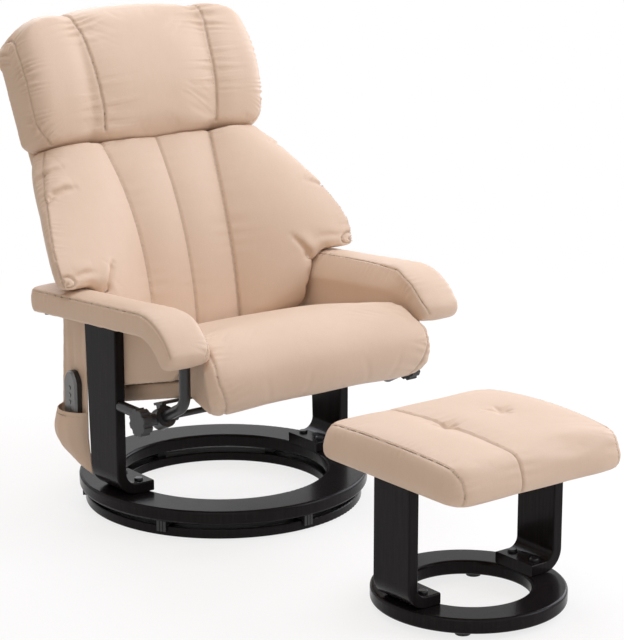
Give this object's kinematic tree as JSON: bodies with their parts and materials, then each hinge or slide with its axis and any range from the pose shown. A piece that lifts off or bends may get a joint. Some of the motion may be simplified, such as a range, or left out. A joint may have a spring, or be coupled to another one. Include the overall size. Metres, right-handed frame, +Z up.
{
  "type": "swivel recliner armchair with footstool",
  "caption": "Padded reclining armchair on a ring swivel base with winged back, headrest, side clamp knobs, handset pocket and a matching padded footstool.",
  "frame": {"origin": "on the floor, at the chair's swivel axis", "axes": "+Z up, the chair faces -Y with its footstool there, +X to the sitter's left"},
  "size_m": [0.704, 1.4049, 0.9911],
  "materials": {
    "upholstery": "soft matt faux leather, warm beige",
    "lacquered_wood": "high-gloss black lacquer over bent plywood",
    "plain_wood": "raw plywood, hidden",
    "black_steel": "satin black powder coat",
    "bolt_steel": "black oxide",
    "bare_steel": "zinc plated",
    "black_plastic": "moulded black plastic",
    "grey_plastic": "grey moulded plastic",
    "glide_rubber": "dark rubber",
    "webbing": "woven elastic",
    "circuit": "green board"
  },
  "bodies": {
    "floor_base": {"floor_ring": "lacquered_wood", "floor_glides": "glide_rubber", "guide_blocks": "black_plastic"},
    "swivel_frame": {"swivel_race": "bare_steel", "swivel_ring": "lacquered_wood", "upright_left": "lacquered_wood", "upright_right": "lacquered_wood", "upright_bolts": "bolt_steel", "arm_pad_left": "upholstery", "arm_pad_right": "upholstery", "arm_board_left": "plain_wood", "arm_board_right": "plain_wood", "arm_bolts": "bolt_steel", "side_panel_left": "upholstery", "side_panel_right": "upholstery", "panel_bolts": "bolt_steel", "glide_tube_left": "black_steel", "glide_tube_right": "black_steel", "pivot_pins": "bolt_steel", "side_pocket": "upholstery"},
    "seat": {"seat_cushion": "upholstery", "seat_base": "upholstery", "seat_webbing": "webbing", "seat_motors": "black_plastic", "control_box": "black_plastic", "power_inlet": "black_plastic", "seat_hangers": "black_steel", "slide_bushes": "black_plastic", "cross_rod": "black_steel", "hinge_ears": "black_steel", "hinge_pins": "bare_steel"},
    "clamp_left": {"knob_left": "black_plastic", "clamp_stud_left": "bolt_steel"},
    "clamp_right": {"knob_right": "black_plastic", "clamp_stud_right": "bolt_steel"},
    "backrest": {"back_shell": "upholstery", "back_frame": "black_steel", "back_straps": "webbing", "back_motors": "black_plastic", "back_cushion": "upholstery", "wing_left": "upholstery", "wing_right": "upholstery", "headrest_pillow": "upholstery"},
    "handset": {"handset_back": "black_plastic", "handset_face": "grey_plastic", "circuit_board": "circuit"},
    "footstool": {"stool_ring": "lacquered_wood", "stool_glides": "glide_rubber", "stool_leg_left": "lacquered_wood", "stool_leg_right": "lacquered_wood", "stool_bolts": "bolt_steel", "stool_board": "plain_wood", "stool_cushion": "upholstery"},
    "key_power": {"button_power": "grey_plastic"},
    "key_mode": {"button_mode": "grey_plastic"},
    "key_intensity": {"button_intensity": "grey_plastic"},
    "key_back": {"button_back": "grey_plastic"},
    "key_seat": {"button_seat": "grey_plastic"}
  },
  "joints": [
    {"name": "swivel", "type": "hinge", "parent": "floor_base", "child": "swivel_frame", "pos_m": [0, 0, 0.03], "axis": [0, 0, 1], "continuous": true},
    {"name": "recline", "type": "hinge", "parent": "swivel_frame", "child": "backrest", "pos_m": [0, 0.15508, 0.39122], "axis": [-1, 0, 0], "range_deg": [0, 25]},
    {"name": "seat_glide", "type": "slide", "parent": "swivel_frame", "child": "seat", "axis": [0, -0.8829, 0.4695], "range_m": [0, 0.0455]},
    {"name": "clamp_left_turn", "type": "hinge", "parent": "seat", "child": "clamp_left", "pos_m": [-0.281, -0.20193, 0.26619], "axis": [-1, 0, 0], "range_deg": [0, 180]},
    {"name": "clamp_right_turn", "type": "hinge", "parent": "seat", "child": "clamp_right", "pos_m": [0.281, -0.20193, 0.26619], "axis": [1, 0, 0], "range_deg": [0, 180]},
    {"name": "handset_lift", "type": "slide", "parent": "swivel_frame", "child": "handset", "axis": [0, 0, 1], "range_m": [0, 0.1]},
    {"name": "footstool_move", "type": "slide", "parent": "floor_base", "child": "footstool", "axis": [0, 1, 0], "range_m": [-0.3, 0.05]},
    {"name": "press_power", "type": "slide", "parent": "handset", "child": "key_power", "axis": [1, 0, 0], "range_m": [0, 0.0012], "stiffness_N_per_m": 500},
    {"name": "press_mode", "type": "slide", "parent": "handset", "child": "key_mode", "axis": [1, 0, 0], "range_m": [0, 0.0012], "stiffness_N_per_m": 500},
    {"name": "press_intensity", "type": "slide", "parent": "handset", "child": "key_intensity", "axis": [1, 0, 0], "range_m": [0, 0.0012], "stiffness_N_per_m": 500},
    {"name": "press_back", "type": "slide", "parent": "handset", "child": "key_back", "axis": [1, 0, 0], "range_m": [0, 0.0012], "stiffness_N_per_m": 500},
    {"name": "press_seat", "type": "slide", "parent": "handset", "child": "key_seat", "axis": [1, 0, 0], "range_m": [0, 0.0012], "stiffness_N_per_m": 500}
  ],
  "couplings": [
    {"joint": "seat_glide", "follows": "recline", "m_per_rad": 0.10397}
  ]
}
